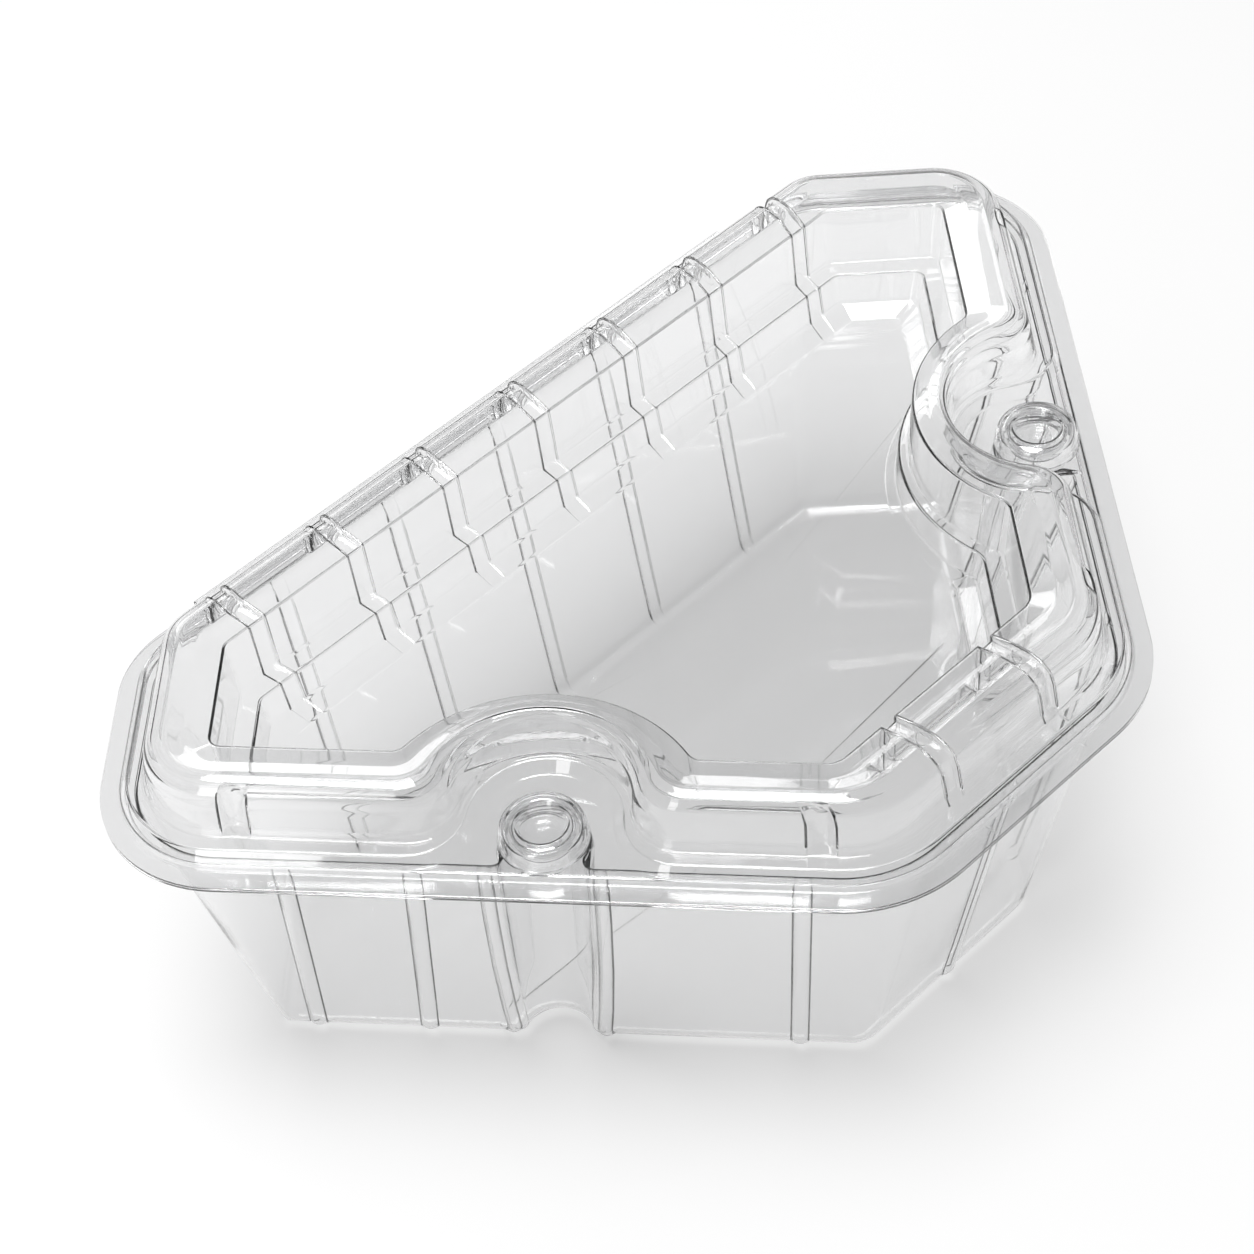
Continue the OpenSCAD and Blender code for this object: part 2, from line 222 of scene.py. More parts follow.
def smooth(t):
    return t*t*(3 - 2*t)


RAMP_STEPS = 4


def notch_shape(width, soft):
    """Positions across a notch and how far each is let in, from 0 to 1."""
    ramp = np.arange(RAMP_STEPS + 1)/RAMP_STEPS
    left = -width/2 + soft*ramp
    flat = np.array([0.0])
    places = np.concatenate([left, flat, -left[::-1]])
    depth = np.concatenate([smooth(ramp), [1.0], smooth(ramp)[::-1]])
    return places, depth


ROUND_STEPS = 12
ROUND_POWER = 1.3


def round_shape(width):
    """Positions across a half-round rib or groove and its depth, from 0 to 1."""
    q = np.arange(ROUND_STEPS + 1)/ROUND_STEPS
    places = -width/2*np.cos(math.pi*q)
    depth = np.sin(math.pi*q)**ROUND_POWER
    return places, depth


class Feature:
    """A bay, notch, rib or groove at a distance along a side.

    The distance is taken from the side's middle, or from the corner before it
    (-1) or after it (1), and leans along the side inside a given inset. A
    feature beside a bay keeps close to its edge, before (-1) or after (1) it.
    """

    def __init__(self, kind, place, lean=0.0, lean_from=0.0, datum=0, beside=0):
        self.kind = kind
        self.place = place
        self.lean = lean
        self.lean_from = lean_from
        self.datum = datum
        self.beside = beside

    def mirrored(self):
        return Feature(self.kind, -self.place, -self.lean, self.lean_from, -self.datum, -self.beside)

    def spot(self, side, ring):
        start, end = straight_part(side, ring.insets)
        base = {-1: start, 0: 0.0, 1: end}[self.datum]
        if self.beside:
            half = -bay_points(ring, side)[0, 0]
            base += self.beside*(half + EDGE_RIB_W/2 + EDGE_RIB_GAP)
        return base + self.place + self.lean*max(ring.insets[side] - self.lean_from, 0)


def mirror_all(features):
    return [feature.mirrored() for feature in reversed(features)]


def ring_points(ring, features, shapes):
    """The ring as points in space, with the features of each side in their order."""
    rows = []
    for side in range(6):
        inset = ring.insets[side]
        for feature in features[side]:
            kind = feature.kind
            spot = feature.spot(side, ring)
            if kind == "bay":
                curve = bay_points(ring, side)
                plan = on_side(side, spot + curve[:, 0], curve[:, 1])
                rows.append(np.c_[plan, np.full(len(plan), ring.z)])
                continue
            places, depth = shapes[kind]
            let_in, up = (ring.groove, 0) if kind == "groove" else ring.notch
            plan = on_side(side, spot + places, inset + let_in*depth)
            rows.append(np.c_[plan, ring.z + up*depth])
        plan = corner(side, ring.insets)
        rows.append(np.c_[plan, np.full(len(plan), ring.z)])
    return np.vstack(rows)


# The most of the way to the next key ring that a rounding takes
CUT_LIMIT = 0.46


def rounded(keys, cuts, steps):
    """Rounds a stack of key rings along its profile, cutting each key back by its cut."""
    rows = [keys[0]]
    for k in range(1, len(keys) - 1):
        here = keys[k]
        before = keys[k - 1] - here
        after = keys[k + 1] - here
        reach_before = np.linalg.norm(before, axis=1)
        reach_after = np.linalg.norm(after, axis=1)
        cut = np.minimum(cuts[k], CUT_LIMIT*np.minimum(reach_before, reach_after))
        if cuts[k] == 0:
            rows.append(here)
            continue
        start = here + before*(cut/np.maximum(reach_before, 1e-9))[:, None]
        end = here + after*(cut/np.maximum(reach_after, 1e-9))[:, None]
        for t in np.arange(steps[k] + 1)/steps[k]:
            rows.append((1 - t)**2*start + 2*t*(1 - t)*here + t*t*end)
    rows.append(keys[-1])
    return np.array(rows)


def grid_normals(rows):
    """Area-weighted normals of a closed grid of rings, pointing up and out."""
    ahead = np.roll(rows, -1, axis=1)
    normal = np.zeros_like(rows)
    a, b, c, d = rows[:-1], ahead[:-1], ahead[1:], rows[1:]
    face = np.cross(c - a, d - b)
    normal[:-1] += face
    normal[1:] += face
    behind = np.roll(face, 1, axis=1)
    normal[:-1] += behind
    normal[1:] += behind
    return normal/np.maximum(np.linalg.norm(normal, axis=2), 1e-9)[:, :, None]


def make_mesh(name, points, faces):
    """A mesh from points in millimetres."""
    mesh = bpy.data.meshes.new(name)
    mesh.from_pydata((np.asarray(points)*MM).tolist(), [], faces)
    mesh.update()
    return mesh


def make_object(name, mesh):
    piece = bpy.data.objects.new(name, mesh)
    bpy.context.scene.collection.objects.link(piece)
    return piece


# The under side's creases are this much sharper than the outer side's
UNDER_ROUND = 0.3


def formed_shell(name, rings, features, shapes):
    """A closed sheet of even thickness, lofted from its rings and capped in the middle."""
    keys = [ring_points(ring, features, shapes) for ring in rings]
    cuts = np.array([ring.cut for ring in rings])
    steps = [ring.steps for ring in rings]
    rows = rounded(keys, cuts, steps)
    normals = grid_normals(rows)
    normals[-1] = [0, 0, 1]
    normals[0] = [0, 0, 1]
    under = rounded(keys, cuts*UNDER_ROUND, steps) - SHEET*normals
    count = rows.shape[1]
    deep = rows.shape[0]
    top = np.arange(deep*count).reshape(deep, count)
    low = top + deep*count
    middle_top = 2*deep*count
    middle_low = middle_top + 1
    points = np.vstack([rows.reshape(-1, 3), under.reshape(-1, 3),
                        [[0, 0, rows[-1, 0, 2]]], [[0, 0, under[-1, 0, 2]]]])
    faces = []
    for j in range(deep - 1):
        for i in range(count):
            n = (i + 1) % count
            faces.append((top[j, i], top[j, n], top[j + 1, n], top[j + 1, i]))
            faces.append((low[j, i], low[j + 1, i], low[j + 1, n], low[j, n]))
    for i in range(count):
        n = (i + 1) % count
        faces.append((top[0, i], low[0, i], low[0, n], top[0, n]))
        faces.append((top[-1, i], top[-1, n], middle_top))
        faces.append((low[-1, n], low[-1, i], middle_low))
    faces = [tuple(int(v) for v in face) for face in faces]
    return make_object(name, make_mesh(name, points, faces))


def even(inset):
    return [inset]*6


def lid_insets(inset, share):
    """Insets of the six sides: the front takes its share of the extra rim width."""
    return [inset + FRONT_MORE*share, inset, inset, inset, inset, inset]


GROOVE_FROM = RIM_FOOT + 1.4
LID_LEG = [
    Feature("groove", FRONT_GROOVE, FRONT_GROOVE_LEAN, GROOVE_FROM, -1),
    Feature("bay", BUTTON_S),
    Feature("groove", -SIDE_GROOVE, -SIDE_GROOVE_LEAN, GROOVE_FROM, 1),
]
LID_FEATURES = [
    [Feature("notch", -FRONT_NOTCH), Feature("notch", FRONT_NOTCH)],
    LID_LEG,
    [],
    [Feature("notch", k*NOTCH_PITCH, -k*NOTCH_LEAN, CROWN_IN) for k in range(-3, 4)],
    [],
    mirror_all(LID_LEG),
]


POCKET_EDGE = 0.35
# The bay round a button at the pocket's edge: radius, fillet and inset of its middle
POCKET_BAY = (11.7, 12, 14.5)


def lid_rings():
    """The lid from its flange's edge, over the hollow rim and down to the sunk centre."""
    edge_back = HINGE_R + HINGE_GAP
    radius, fillet, middle = POCKET_BAY
    flat = (-radius, fillet, middle, LIP_W + POCKET_EDGE)
    top = FLANGE_GAP + SHEET
    full = -NOTCH_D
    # height above the tray's flange, inset, share, bay, notch in, up, groove, cut
    profile = [
        (top, LIP_W, 0, None, 0, 0, 0, 0.5),
        (POCKET_H, LIP_W + 0.2, 0, None, 0, 0, 0, 0.4),
        (POCKET_H + 0.02, LIP_W + POCKET_EDGE, 0, POCKET_BAY, 0, 0, 0, 0.4),
        (STEP_H, STEP_IN - 0.1, 0, (13.8, 10, 14.3), 0, 0, 0, 0.5),
        (STEP_H, RIM_FOOT, 0, (14.9, 9, 14.0), 0, 0, 0, 0.45),
        (STEP_H + 1.4, RIM_FOOT + 0.35, 0, (15.2, 9, 13.9), NOTCH_D, 0, GROOVE_D, 0.5),
        (RIM_H - 4.4, RIM_FOOT + 1.2, 0, (16.0, 8.5, 13.2), NOTCH_D, 0, GROOVE_D, 1.4),
        (RIM_H - 2.0, RIM_FOOT + 1.9, 0.1, (17.2, 8, 12.2), NOTCH_D*0.9, full*0.4, GROOVE_D*0.8, 1.0),
        (RIM_H - 0.6, RIM_FOOT + 3.3, 0.3, (19.0, 7, 10.8), NOTCH_D*0.5, full*0.8, 0, 0.9),
        (RIM_H, RIM_FOOT + 5.4, 0.6, (21.5, 6.5, 9.2), 0, full, 0, 1.0),
        (RIM_H - 0.6, CROWN_IN, 1, (25.5, 5, 7.2), 0, full, 0, 1.0),
        (RIM_H - 2.1, RIM_IN + 0.6, 1, (30.6, 3, 5.2), full*0.4, full*0.6, 0, 0.6),
        (0.3, RIM_IN + 1.5, 1, (31.9, 3, 4.7), full*0.6, 0, 0, 0.5),
        (0, LEDGE_IN, 1, (34, 4, 4.5), full*0.4, full*0.4, 0, 0.6),
        (-WELL_H, LEDGE_IN + 1.1, 1, (34.6, 4, 4.5), full*0.6, 0, 0, 0.5),
        (-CENTRE_H, CENTRE_IN, 1, (36.6, 4, 4.5), 0, 0, 0, 0.7),
    ]
    rings = [Ring(TRAY_H + top, [0, 0, 0, edge_back, 0, 0], flat)]
    for z, inset, share, bay, let_in, up, groove, cut in profile:
        bay = flat if bay is None else bay + (0,)
        rings.append(Ring(TRAY_H + z, lid_insets(inset, share), bay, (let_in, up), groove, cut))
    inner = lid_insets(CENTRE_IN + 1, 1)
    rings.append(Ring(TRAY_H - CENTRE_H, inner, (37.2, 4, 4.5, 0)))
    return rings


RECESS_S = BUTTON_S - RECESS_LEAN*WALL_TOP
TRAY_LEG = [
    Feature("rib", FRONT_RIB, FRONT_LEAN, 0, -1),
    Feature("edge rib", RECESS_S, RECESS_LEAN, beside=-1),
    Feature("bay", RECESS_S, RECESS_LEAN),
    Feature("edge rib", RECESS_S, RECESS_LEAN, beside=1),
    Feature("rib", MID_RIB, MID_LEAN),
    Feature("rib", -SIDE_RIB, SIDE_LEAN, 0, 1),
]
TRAY_FEATURES = [
    [Feature("rib", 0)],
    TRAY_LEG,
    [],
    [Feature("rib", k*BACK_PITCH) for k in range(-2, 3)],
    [],
    mirror_all(TRAY_LEG),
]


def wall_ring(share, cut=0.0):
    """A ring of the tray's wall, a share of the way down from the flange to the floor."""
    foot = WALL_TOP + (WALL_FOOT - WALL_TOP)*share
    back = WALL_TOP + (BACK_FOOT - WALL_TOP)*share
    radius = RECESS_TOP_R + (RECESS_FOOT_R - RECESS_TOP_R)*share
    middle = foot + (BUTTON_IN - WALL_TOP)*(1 - share) - RECESS_DEEP*share
    out = -RIB_OUT*min(share/0.1, 1)
    insets = [foot, foot, foot, back, foot, foot]
    height = TRAY_H - (TRAY_H - FLOOR_R)*share
    return Ring(height, insets, (radius, RECESS_BLEND, middle, 0), (out, 0), 0, cut)


def floor_ring(quarter):
    """A ring of the rounding between the walls and the floor."""
    wall = wall_ring(1)
    turn = quarter*math.pi/2
    grow = FLOOR_R*(1 - math.cos(turn))
    radius, blend, middle, _ = wall.bay
    insets = [inset + grow for inset in wall.insets]
    height = FLOOR_R*(1 - math.sin(turn)) + SHEET
    rib = -RIB_OUT*(1 - quarter)
    return Ring(height, insets, (radius + grow, blend, middle, 0), (rib, 0))


def tray_rings():
    """The tray from its flange's edge, over the low bead, down the walls to the floor."""
    flat = (-RECESS_TOP_R, RECESS_BLEND, BUTTON_IN, WALL_TOP)
    bead = (RECESS_TOP_R - 0.5, RECESS_BLEND + 0.5, BUTTON_IN, 0)
    rings = [
        Ring(TRAY_H, even(0), flat),
        Ring(TRAY_H, even(LIP_W + 0.7), flat, cut=0.4),
        Ring(TRAY_H + BEAD_H, even(LIP_W + 1.3), flat, cut=0.4),
        Ring(TRAY_H + BEAD_H, even(WALL_TOP - 0.5), bead, cut=0.6),
    ]
    rings += [wall_ring(share) for share in (0.02, 0.06, 0.12, 0.3, 0.6, 0.85)]
    rings += [floor_ring(quarter/7) for quarter in range(8)]
    inner = [inset + 2 for inset in rings[-1].insets]
    radius, blend, middle, _ = rings[-1].bay
    rings.append(Ring(SHEET, inner, (radius + 2, blend, middle, 0)))
    return rings


def button_profile():
    """The lid's button from its flared base over the ring and down the funnel."""
    h = BUTTON_H
    # radius, height and how far the corner is cut back
    keys = [
        (BUTTON_R, -0.2, 0),
        (BUTTON_R - 0.02, 0.15, 0.1),
        (BUTTON_R - 0.35, h - 2, 0.6),
        (BUTTON_R - 0.9, h - 0.7, 0.5),
        (BUTTON_R - 2.2, h, 0.5),
        (FUNNEL_R + 0.6, h - 0.1, 0.4),
        (FUNNEL_R - 0.05, h - 1, 0.4),
        (FUNNEL_FOOT_R, FUNNEL_FLOOR, 0.3),
        (MIDDLE_R, FUNNEL_FLOOR, 0),
        (0, FUNNEL_FLOOR, 0),
    ]
    return sheet_section(keys)


def stud_profile():
    """The tray's stud, the same shape one sheet and a small gap inside the button."""
    outer = BUTTON_R - SHEET - STUD_GAP
    top = POCKET_H + BUTTON_H - SHEET - STUD_GAP - BEAD_H
    well = POCKET_H + FUNNEL_FLOOR - SHEET - STUD_GAP - BEAD_H
    inner = FUNNEL_R + SHEET + STUD_GAP
    keys = [
        (outer + 0.3, -0.3, 0),
        (outer, 0.12, 0.2),
        (outer - 0.25, top - 0.6, 0.4),
        (outer - 0.7, top, 0.4),
        (inner + 0.4, top, 0.3),
        (inner, top - 0.5, 0.3),
        (inner - 0.1, well, 0.3),
        (MIDDLE_R, well, 0),
        (0, well, 0),
    ]
    return sheet_section(keys)


TURNED_SHEET = SHEET*0.8
TURNED_STEPS = 5


def sheet_section(keys):
    """Closed section of a turned sheet, as radius and height, from its outer line."""
    stack = [np.array([[x, 0, z]], float) for x, z, _ in keys]
    cuts = [cut for _, _, cut in keys]
    line = rounded(stack, cuts, [TURNED_STEPS]*len(keys))[:, 0, :][:, [0, 2]]
    step = np.gradient(line, axis=0)
    normal = np.c_[-step[:, 1], step[:, 0]]
    normal /= np.linalg.norm(normal, axis=1)[:, None]
    inner = line + normal*TURNED_SHEET
    inner[-1] = [0, line[-1, 1] - TURNED_SHEET]
    inner[:, 0] = np.maximum(inner[:, 0], 0)
    return np.vstack([line, inner[::-1]])


TURN_SLICES = 72


def slice_mesh(name, section):
    """One slice of a turned piece: its closed section swept through one slice's angle."""
    turn = 2*math.pi/TURN_SLICES
    first = np.c_[section[:, 0], np.zeros(len(section)), section[:, 1]]
    second = np.c_[section[:, 0]*math.cos(turn), section[:, 0]*math.sin(turn), section[:, 1]]
    count = len(section)
    faces = []
    for i in range(count):
        n = (i + 1) % count
        if section[i, 0] < 1e-6 and section[n, 0] < 1e-6:
            continue
        faces.append((i, i + count, n + count, n))
    return make_mesh(name, np.vstack([first, second]), faces)


def turned_pair_tree(name):
    """Geometry nodes: a slice repeated round its axis, and the whole set at two places."""
    tree = bpy.data.node_groups.new(name, "GeometryNodeTree")
    sides = tree.interface
    sides.new_socket("Slice", in_out="INPUT", socket_type="NodeSocketGeometry")
    slices = sides.new_socket("Slices around", in_out="INPUT", socket_type="NodeSocketInt")
    slices.default_value = TURN_SLICES
    place = sides.new_socket("First place", in_out="INPUT", socket_type="NodeSocketVector")
    step = sides.new_socket("Step to the second", in_out="INPUT", socket_type="NodeSocketVector")
    finish = sides.new_socket("Finish", in_out="INPUT", socket_type="NodeSocketMaterial")
    sides.new_socket("Pair", in_out="OUTPUT", socket_type="NodeSocketGeometry")
    nodes = tree.nodes
    link = tree.links.new
    source = nodes.new("NodeGroupInput")
    result = nodes.new("NodeGroupOutput")
    ring = nodes.new("GeometryNodeMeshLine")
    ring.mode = "OFFSET"
    ring.inputs["Offset"].default_value = (0, 0, 0)
    index = nodes.new("GeometryNodeInputIndex")
    full_turn = nodes.new("ShaderNodeMath")
    full_turn.operation = "DIVIDE"
    full_turn.inputs[0].default_value = 2*math.pi
    turn = nodes.new("ShaderNodeMath")
    turn.operation = "MULTIPLY"
    rotation = nodes.new("ShaderNodeCombineXYZ")
    around = nodes.new("GeometryNodeInstanceOnPoints")
    whole = nodes.new("GeometryNodeRealizeInstances")
    weld = nodes.new("GeometryNodeMergeByDistance")
    weld.inputs["Distance"].default_value = 0.00001
    places = nodes.new("GeometryNodeMeshLine")
    places.mode = "OFFSET"
    places.inputs["Count"].default_value = 2
    pair = nodes.new("GeometryNodeInstanceOnPoints")
    plain = nodes.new("GeometryNodeRealizeInstances")
    paint = nodes.new("GeometryNodeSetMaterial")
    link(source.outputs["Slices around"], ring.inputs["Count"])
    link(source.outputs["Slices around"], full_turn.inputs[1])
    link(index.outputs[0], turn.inputs[0])
    link(full_turn.outputs[0], turn.inputs[1])
    link(turn.outputs[0], rotation.inputs["Z"])
    link(ring.outputs[0], around.inputs["Points"])
    link(source.outputs["Slice"], around.inputs["Instance"])
    link(rotation.outputs[0], around.inputs["Rotation"])
    link(around.outputs[0], whole.inputs[0])
    link(whole.outputs[0], weld.inputs["Geometry"])
    link(source.outputs["First place"], places.inputs["Start Location"])
    link(source.outputs["Step to the second"], places.inputs["Offset"])
    link(places.outputs[0], pair.inputs["Points"])
    link(weld.outputs[0], pair.inputs["Instance"])
    link(pair.outputs[0], plain.inputs[0])
    link(plain.outputs[0], paint.inputs["Geometry"])
    link(source.outputs["Finish"], paint.inputs["Material"])
    link(paint.outputs[0], result.inputs[0])
    return tree, {"slices": slices.identifier, "place": place.identifier,
                  "step": step.identifier, "finish": finish.identifier}


def plain_copy(piece, name):
    """The piece's evaluated mesh as a new plain object; the old object is removed."""
    bpy.context.view_layer.update()
    graph = bpy.context.evaluated_depsgraph_get()
    mesh = bpy.data.meshes.new_from_object(piece.evaluated_get(graph), depsgraph=graph)
    mesh.name = name
    bpy.data.objects.remove(piece)
    return make_object(name, mesh)


def turned_pair(name, section, height, finish):
    """Two turned pieces at the button places, mirror images about the middle."""
    tree, key = turned_pair_tree(name + " tree")
    piece = make_object(name, slice_mesh(name, section))
    spot = on_side(1, [BUTTON_S], BUTTON_IN)[0]
    modifier = piece.modifiers.new("Turned pair", "NODES")
    modifier.node_group = tree
    modifier[key["slices"]] = TURN_SLICES
    modifier[key["place"]] = (spot[0]*MM, spot[1]*MM, height*MM)
    modifier[key["step"]] = (-2*spot[0]*MM, 0.0, 0.0)
    modifier[key["finish"]] = finish
    return plain_copy(piece, name)


CUTTER_SIDES = 64
CUTTER_REACH = 3


def button_cutters(radius, height):
    """Two round cutters at the button places."""
    turns = np.arange(CUTTER_SIDES)*2*math.pi/CUTTER_SIDES
    spot = on_side(1, [BUTTON_S], BUTTON_IN)[0]
    points = []
    faces = []
    for sign in (1, -1):
        start = len(points)
        above = start + CUTTER_SIDES
        for z in (height - CUTTER_REACH, height + CUTTER_REACH):
            for turn in turns:
                x = sign*spot[0] + radius*math.cos(turn)
                points.append([x, spot[1] + radius*math.sin(turn), z])
        faces.append(tuple(start + i for i in reversed(range(CUTTER_SIDES))))
        faces.append(tuple(above + i for i in range(CUTTER_SIDES)))
        for i in range(CUTTER_SIDES):
            n = (i + 1) % CUTTER_SIDES
            faces.append((start + i, start + n, above + n, above + i))
    return make_object("button cutters", make_mesh("button cutters", points, faces))


def joined(shell, cutters, turned, name):
    """The shell with round holes cut in it and the turned pieces joined on."""
    for kind, other in (("DIFFERENCE", cutters), ("UNION", turned)):
        modifier = shell.modifiers.new(kind.title(), "BOOLEAN")
        modifier.operation = kind
        modifier.solver = "MANIFOLD"
        modifier.object = other
    piece = plain_copy(shell, name)
    bpy.data.objects.remove(cutters)
    bpy.data.objects.remove(turned)
    return piece


SHARP_TURN = 50


def smooth_piece(piece, name):
    """Smooth shading that follows the large faces, with the cut edges kept sharp."""
    mesh = piece.data
    mesh.polygons.foreach_set("use_smooth", [True]*len(mesh.polygons))
    mesh.set_sharp_from_angle(angle=math.radians(SHARP_TURN))
    modifier = piece.modifiers.new("Even shading", "WEIGHTED_NORMAL")
    modifier.mode = "FACE_AREA"
    modifier.weight = 50
    modifier.keep_sharp = True
    return plain_copy(piece, name)


class Value:
    """A shader socket that can be used in Python sums."""

    def __init__(self, maker, socket):
        self.maker = maker
        self.socket = socket

    def _with(self, operation, other):
        return self.maker.node("ShaderNodeMath", {"operation": operation}, {0: self, 1: other})

    def __add__(self, other):
        return self._with("ADD", other)

    __radd__ = __add__

    def __mul__(self, other):
        return self._with("MULTIPLY", other)

    __rmul__ = __mul__

    def __pow__(self, other):
        return self._with("POWER", other)


class Finish:
    """A material whose nodes are made from a type, settings and socket values."""

    def __init__(self, name):
        self.material = bpy.data.materials.new(name)
        self.material.use_nodes = True
        self.tree = self.material.node_tree
        self.tree.nodes.clear()

    def node(self, kind, settings=None, values=None, output=0):
        made = self.tree.nodes.new(kind)
        for name, value in (settings or {}).items():
            setattr(made, name, value)
        for name, value in (values or {}).items():
            if isinstance(value, Value):
                self.tree.links.new(value.socket, made.inputs[name])
            else:
                made.inputs[name].default_value = value
        return Value(self, made.outputs[output])

    def shown_by(self, shader):
        output = self.tree.nodes.new("ShaderNodeOutputMaterial")
        self.tree.links.new(shader.socket, output.inputs["Surface"])
        return self.material


# Clear PET: its refractive index and tint, and the light it lets through flat on and at its edge
PET_IOR = 1.57
PET_TINT = (0.955, 0.956, 0.958, 1)
SHADOW_PASS = (0.97, 0.97, 0.97, 1)
SHADOW_EDGE = (0.55, 0.55, 0.55, 1)
EDGE_BLEND = 0.35
# Waves in the formed sheet: how many to a metre, and their strength and depth in metres
WAVE_SCALE = 42.0
WAVE_STRENGTH = 0.3
WAVE_DEPTH = 0.0006
LEAST_ROUGH = 0.01
WAVE_ROUGH = 0.05


def clear_sheet(name, wave_seed):
    """Clear formed sheet: glossy, very slightly wavy, a little duller where it is drawn."""
    finish = Finish(name)
    place = finish.node("ShaderNodeTexCoord", output="Object")
    spot = finish.node("ShaderNodeMapping", {}, {"Vector": place, "Location": (wave_seed, 0, 0)})
    waves = finish.node("ShaderNodeTexNoise", {}, {"Vector": spot, "Scale": WAVE_SCALE, "Detail": 0.0})
    bump = finish.node("ShaderNodeBump", {}, {
        "Height": waves, "Strength": WAVE_STRENGTH, "Distance": WAVE_DEPTH})
    sheet = finish.node("ShaderNodeBsdfPrincipled", {}, {
        "Base Color": PET_TINT, "Roughness": waves**2*WAVE_ROUGH + LEAST_ROUGH, "Normal": bump,
        "IOR": PET_IOR, "Transmission Weight": 1.0})
    facing = finish.node("ShaderNodeLayerWeight", {}, {"Blend": EDGE_BLEND}, output="Facing")
    flat_shade = finish.node("ShaderNodeBsdfTransparent", {}, {"Color": SHADOW_PASS})
    edge_shade = finish.node("ShaderNodeBsdfTransparent", {}, {"Color": SHADOW_EDGE})
    shade = finish.node("ShaderNodeMixShader", {}, {0: facing**3, 1: flat_shade, 2: edge_shade})
    shadow_ray = finish.node("ShaderNodeLightPath", output="Is Shadow Ray")
    return finish.shown_by(finish.node("ShaderNodeMixShader", {}, {0: shadow_ray, 1: sheet, 2: shade}))


FLOOR_WHITE = (0.93, 0.93, 0.93, 1)


def floor_finish():
    """Plain white studio floor."""
    finish = Finish("studio floor")
    return finish.shown_by(finish.node("ShaderNodeBsdfDiffuse", {}, {"Color": FLOOR_WHITE}))


def make_lid(finish):
    shapes = {"notch": notch_shape(NOTCH_W, NOTCH_SOFT), "groove": round_shape(GROOVE_W)}
    shell = formed_shell("lid shell", lid_rings(), LID_FEATURES, shapes)
    buttons = turned_pair("lid buttons", button_profile(), TRAY_H + POCKET_H, finish)
    piece = joined(shell, button_cutters(BUTTON_R - 0.7, TRAY_H + POCKET_H), buttons, "lid joined")
    return smooth_piece(piece, "clear_lid")


def make_tray(finish):
    shapes = {"rib": round_shape(RIB_W), "edge rib": round_shape(EDGE_RIB_W)}
    shell = formed_shell("tray shell", tray_rings(), TRAY_FEATURES, shapes)
    studs = turned_pair("tray studs", stud_profile(), TRAY_H + BEAD_H, finish)
    radius = BUTTON_R - SHEET - STUD_GAP - SHEET/2
    piece = joined(shell, button_cutters(radius, TRAY_H + BEAD_H), studs, "tray joined")
    return smooth_piece(piece, "clear_tray")


FOLD_STEPS = 16
FOLD_STATIONS = 29
FOLD_HALF = SHEET*0.35
FOLD_LAP = 0.5


def make_fold():
    """The thin fold that joins the two flanges along the back edge."""
    axis_y = SIDE_OUT[3] + HINGE_R
    axis_z = TRAY_H + FLANGE_GAP/2
    radius = HINGE_R - FOLD_HALF
    line = [(SIDE_OUT[3] - FOLD_LAP, axis_z - radius)]
    for k in range(FOLD_STEPS + 1):
        turn = -math.pi/2 + math.pi*k/FOLD_STEPS
        line.append((axis_y + radius*math.cos(turn), axis_z + radius*math.sin(turn)))
    line.append((SIDE_OUT[3] - FOLD_LAP, axis_z + radius))
    line = np.array(line)
    step = np.gradient(line, axis=0)
    normal = np.c_[step[:, 1], -step[:, 0]]
    normal /= np.linalg.norm(normal, axis=1)[:, None]
    section = np.vstack([line + normal*FOLD_HALF, (line - normal*FOLD_HALF)[::-1]])
    count = len(section)
    stations = np.linspace(-HINGE_L/2, HINGE_L/2, FOLD_STATIONS)
    points = np.vstack([np.c_[np.full(count, x), section] for x in stations])
    faces = []
    for j in range(len(stations) - 1):
        for i in range(count):
            n = (i + 1) % count
            a = j*count
            b = a + count
            faces.append((a + i, a + n, b + n, b + i))
    last = (len(stations) - 1)*count
    faces.append(tuple(reversed(range(count))))
    faces.append(tuple(last + i for i in range(count)))
    return smooth_piece(make_object("fold", make_mesh("fold", points, faces)), "hinge_fold")


def dress(piece, finish):
    piece.data.materials.clear()
    piece.data.materials.append(finish)
    return piece


# Camera found from the photograph: its place, aim, focal length and lean
CAMERA_AT = Vector((-0.2606, -0.2817, 0.4839))
CAMERA_TURN = 39.68
CAMERA_DOWN = 47.51
CAMERA_LEAN = 6.29
FOCAL_PIXELS = 3036
SENSOR = 36


def make_camera():
    data = bpy.data.cameras.new("camera")
    data.sensor_width = SENSOR
    data.lens = SENSOR*FOCAL_PIXELS/IMAGE_SIDE
    camera = bpy.data.objects.new("camera", data)
    bpy.context.scene.collection.objects.link(camera)
    turn, down = math.radians(CAMERA_TURN), math.radians(CAMERA_DOWN)
    aim = Vector((math.sin(turn)*math.cos(down), math.cos(turn)*math.cos(down), -math.sin(down)))
    right = aim.cross(Vector((0, 0, 1))).normalized()
    up = right.cross(aim)
    lean = math.radians(CAMERA_LEAN)
    leaned_right = right*math.cos(lean) - up*math.sin(lean)
    leaned_up = up*math.cos(lean) + right*math.sin(lean)
    camera.matrix_world = Matrix((
        (leaned_right.x, leaned_up.x, -aim.x, CAMERA_AT.x),
        (leaned_right.y, leaned_up.y, -aim.y, CAMERA_AT.y),
        (leaned_right.z, leaned_up.z, -aim.z, CAMERA_AT.z),
        (0, 0, 0, 1)))
    data.clip_start = 0.01
    data.clip_end = 20
    bpy.context.scene.camera = camera


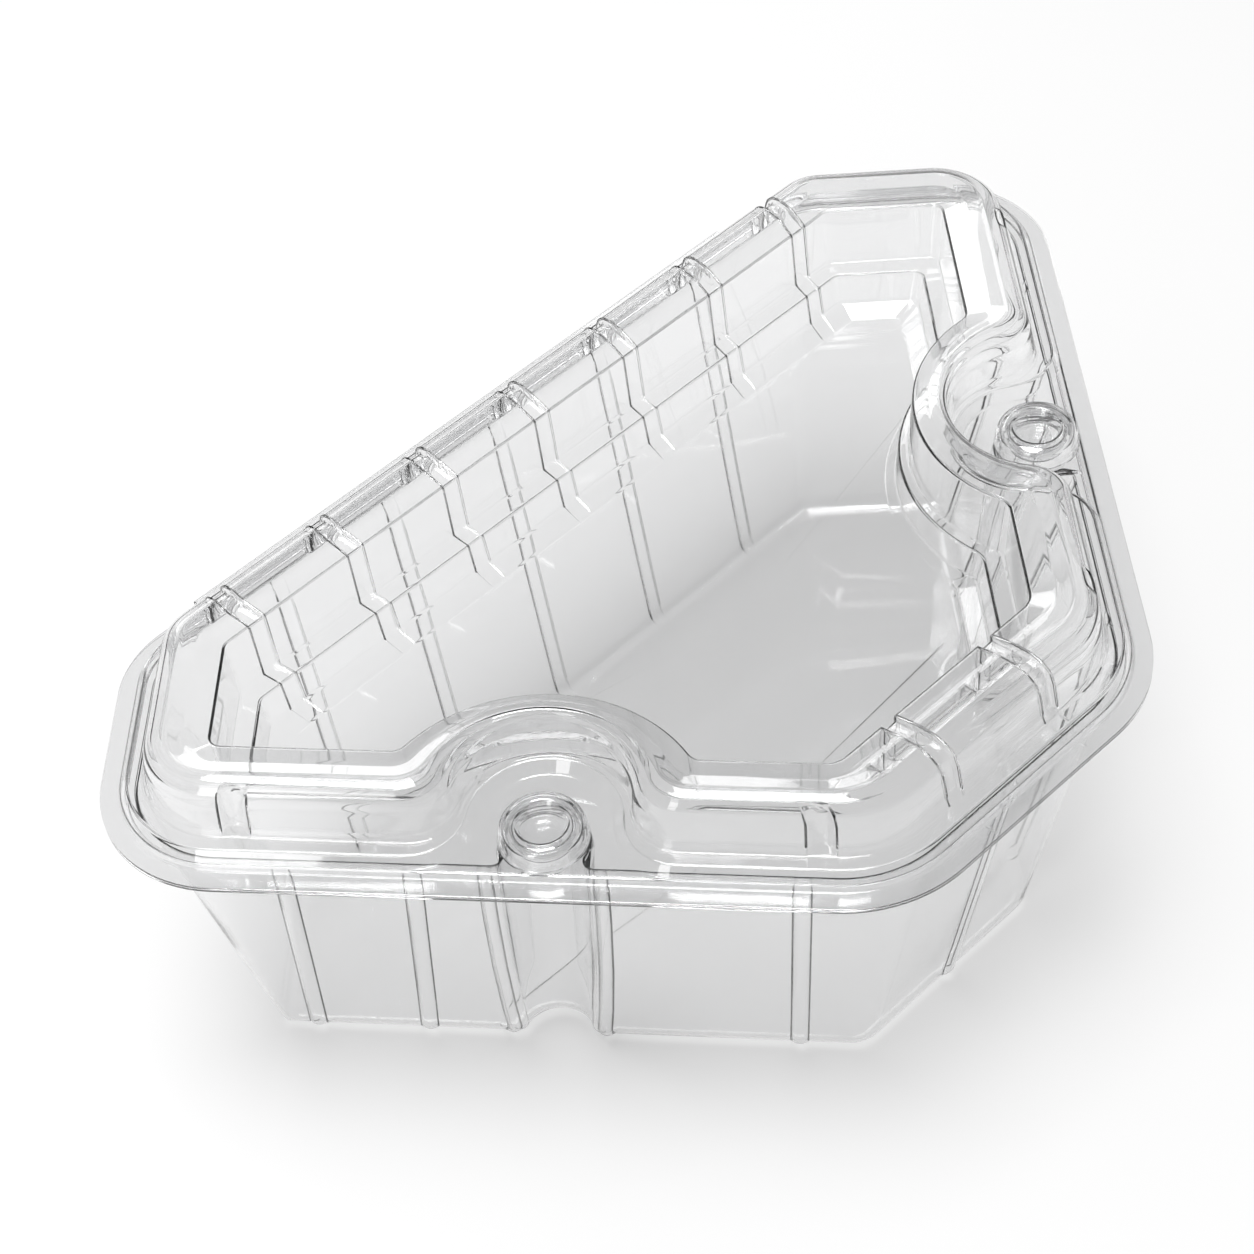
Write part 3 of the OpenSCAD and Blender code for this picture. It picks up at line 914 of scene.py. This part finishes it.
def soft_light(name, place, aim, size, power):
    data = bpy.data.lights.new(name, "AREA")
    data.shape = "RECTANGLE"
    data.size, data.size_y = size
    data.energy = power
    light = bpy.data.objects.new(name, data)
    bpy.context.scene.collection.objects.link(light)
    light.location = place
    light.rotation_euler = (Vector(aim) - Vector(place)).to_track_quat("-Z", "Y").to_euler()


# The white floor: half its side and how far it lies under the tray, in metres
FLOOR_HALF = 1.5
FLOOR_DROP = 0.0004
# What the lights aim at, and each light's name, place, size and power
LIT_SPOT = (0, 0, 0.04)
LIGHTS = [
    ("overhead box", (-0.15, 0.05, 1.6), (0.7, 0.7), 21.5),
    ("left box", (-1.0, -0.3, 0.55), (0.3, 0.8), 2.6),
    ("back box", (0.5, 1.0, 0.8), (0.8, 0.3), 2.6),
]
SURROUND = 0.18
# Light passes up to this many faces of the two nested sheets
SHEET_BOUNCES = 28


def make_studio():
    """White floor, soft boxes and an even pale surround."""
    side = FLOOR_HALF/MM
    points = [(-side, -side, 0), (side, -side, 0), (side, side, 0), (-side, side, 0)]
    floor = make_object("studio_floor", make_mesh("studio_floor", points, [(0, 1, 2, 3)]))
    floor.location.z = -FLOOR_DROP
    dress(floor, floor_finish())
    for name, place, size, power in LIGHTS:
        soft_light(name, place, LIT_SPOT, size, power)
    scene = bpy.context.scene
    world = bpy.data.worlds.new("studio")
    world.use_nodes = True
    scene.world = world
    back = world.node_tree.nodes["Background"]
    back.inputs["Color"].default_value = (1, 1, 1, 1)
    back.inputs["Strength"].default_value = SURROUND
    scene.view_settings.view_transform = "Standard"
    scene.cycles.caustics_reflective = False
    scene.cycles.caustics_refractive = False
    scene.cycles.max_bounces = SHEET_BOUNCES
    scene.cycles.diffuse_bounces = 1
    scene.cycles.glossy_bounces = 6
    scene.cycles.transmission_bounces = SHEET_BOUNCES
    scene.cycles.transparent_max_bounces = 20


lid_finish = clear_sheet("clear lid sheet", 1.7)
tray_finish = clear_sheet("clear tray sheet", 5.2)
make_camera()
lid = dress(make_lid(lid_finish), lid_finish)
tray = dress(make_tray(tray_finish), tray_finish)
fold = dress(make_fold(), tray_finish)
make_studio()

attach(lid, "lid")
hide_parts("lid")
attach(tray, "tray")
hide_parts("tray")
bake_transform(fold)

for piece in (lid, tray, fold):
    print(piece.name, "triangles", sum(len(p.vertices) - 2 for p in piece.data.polygons))
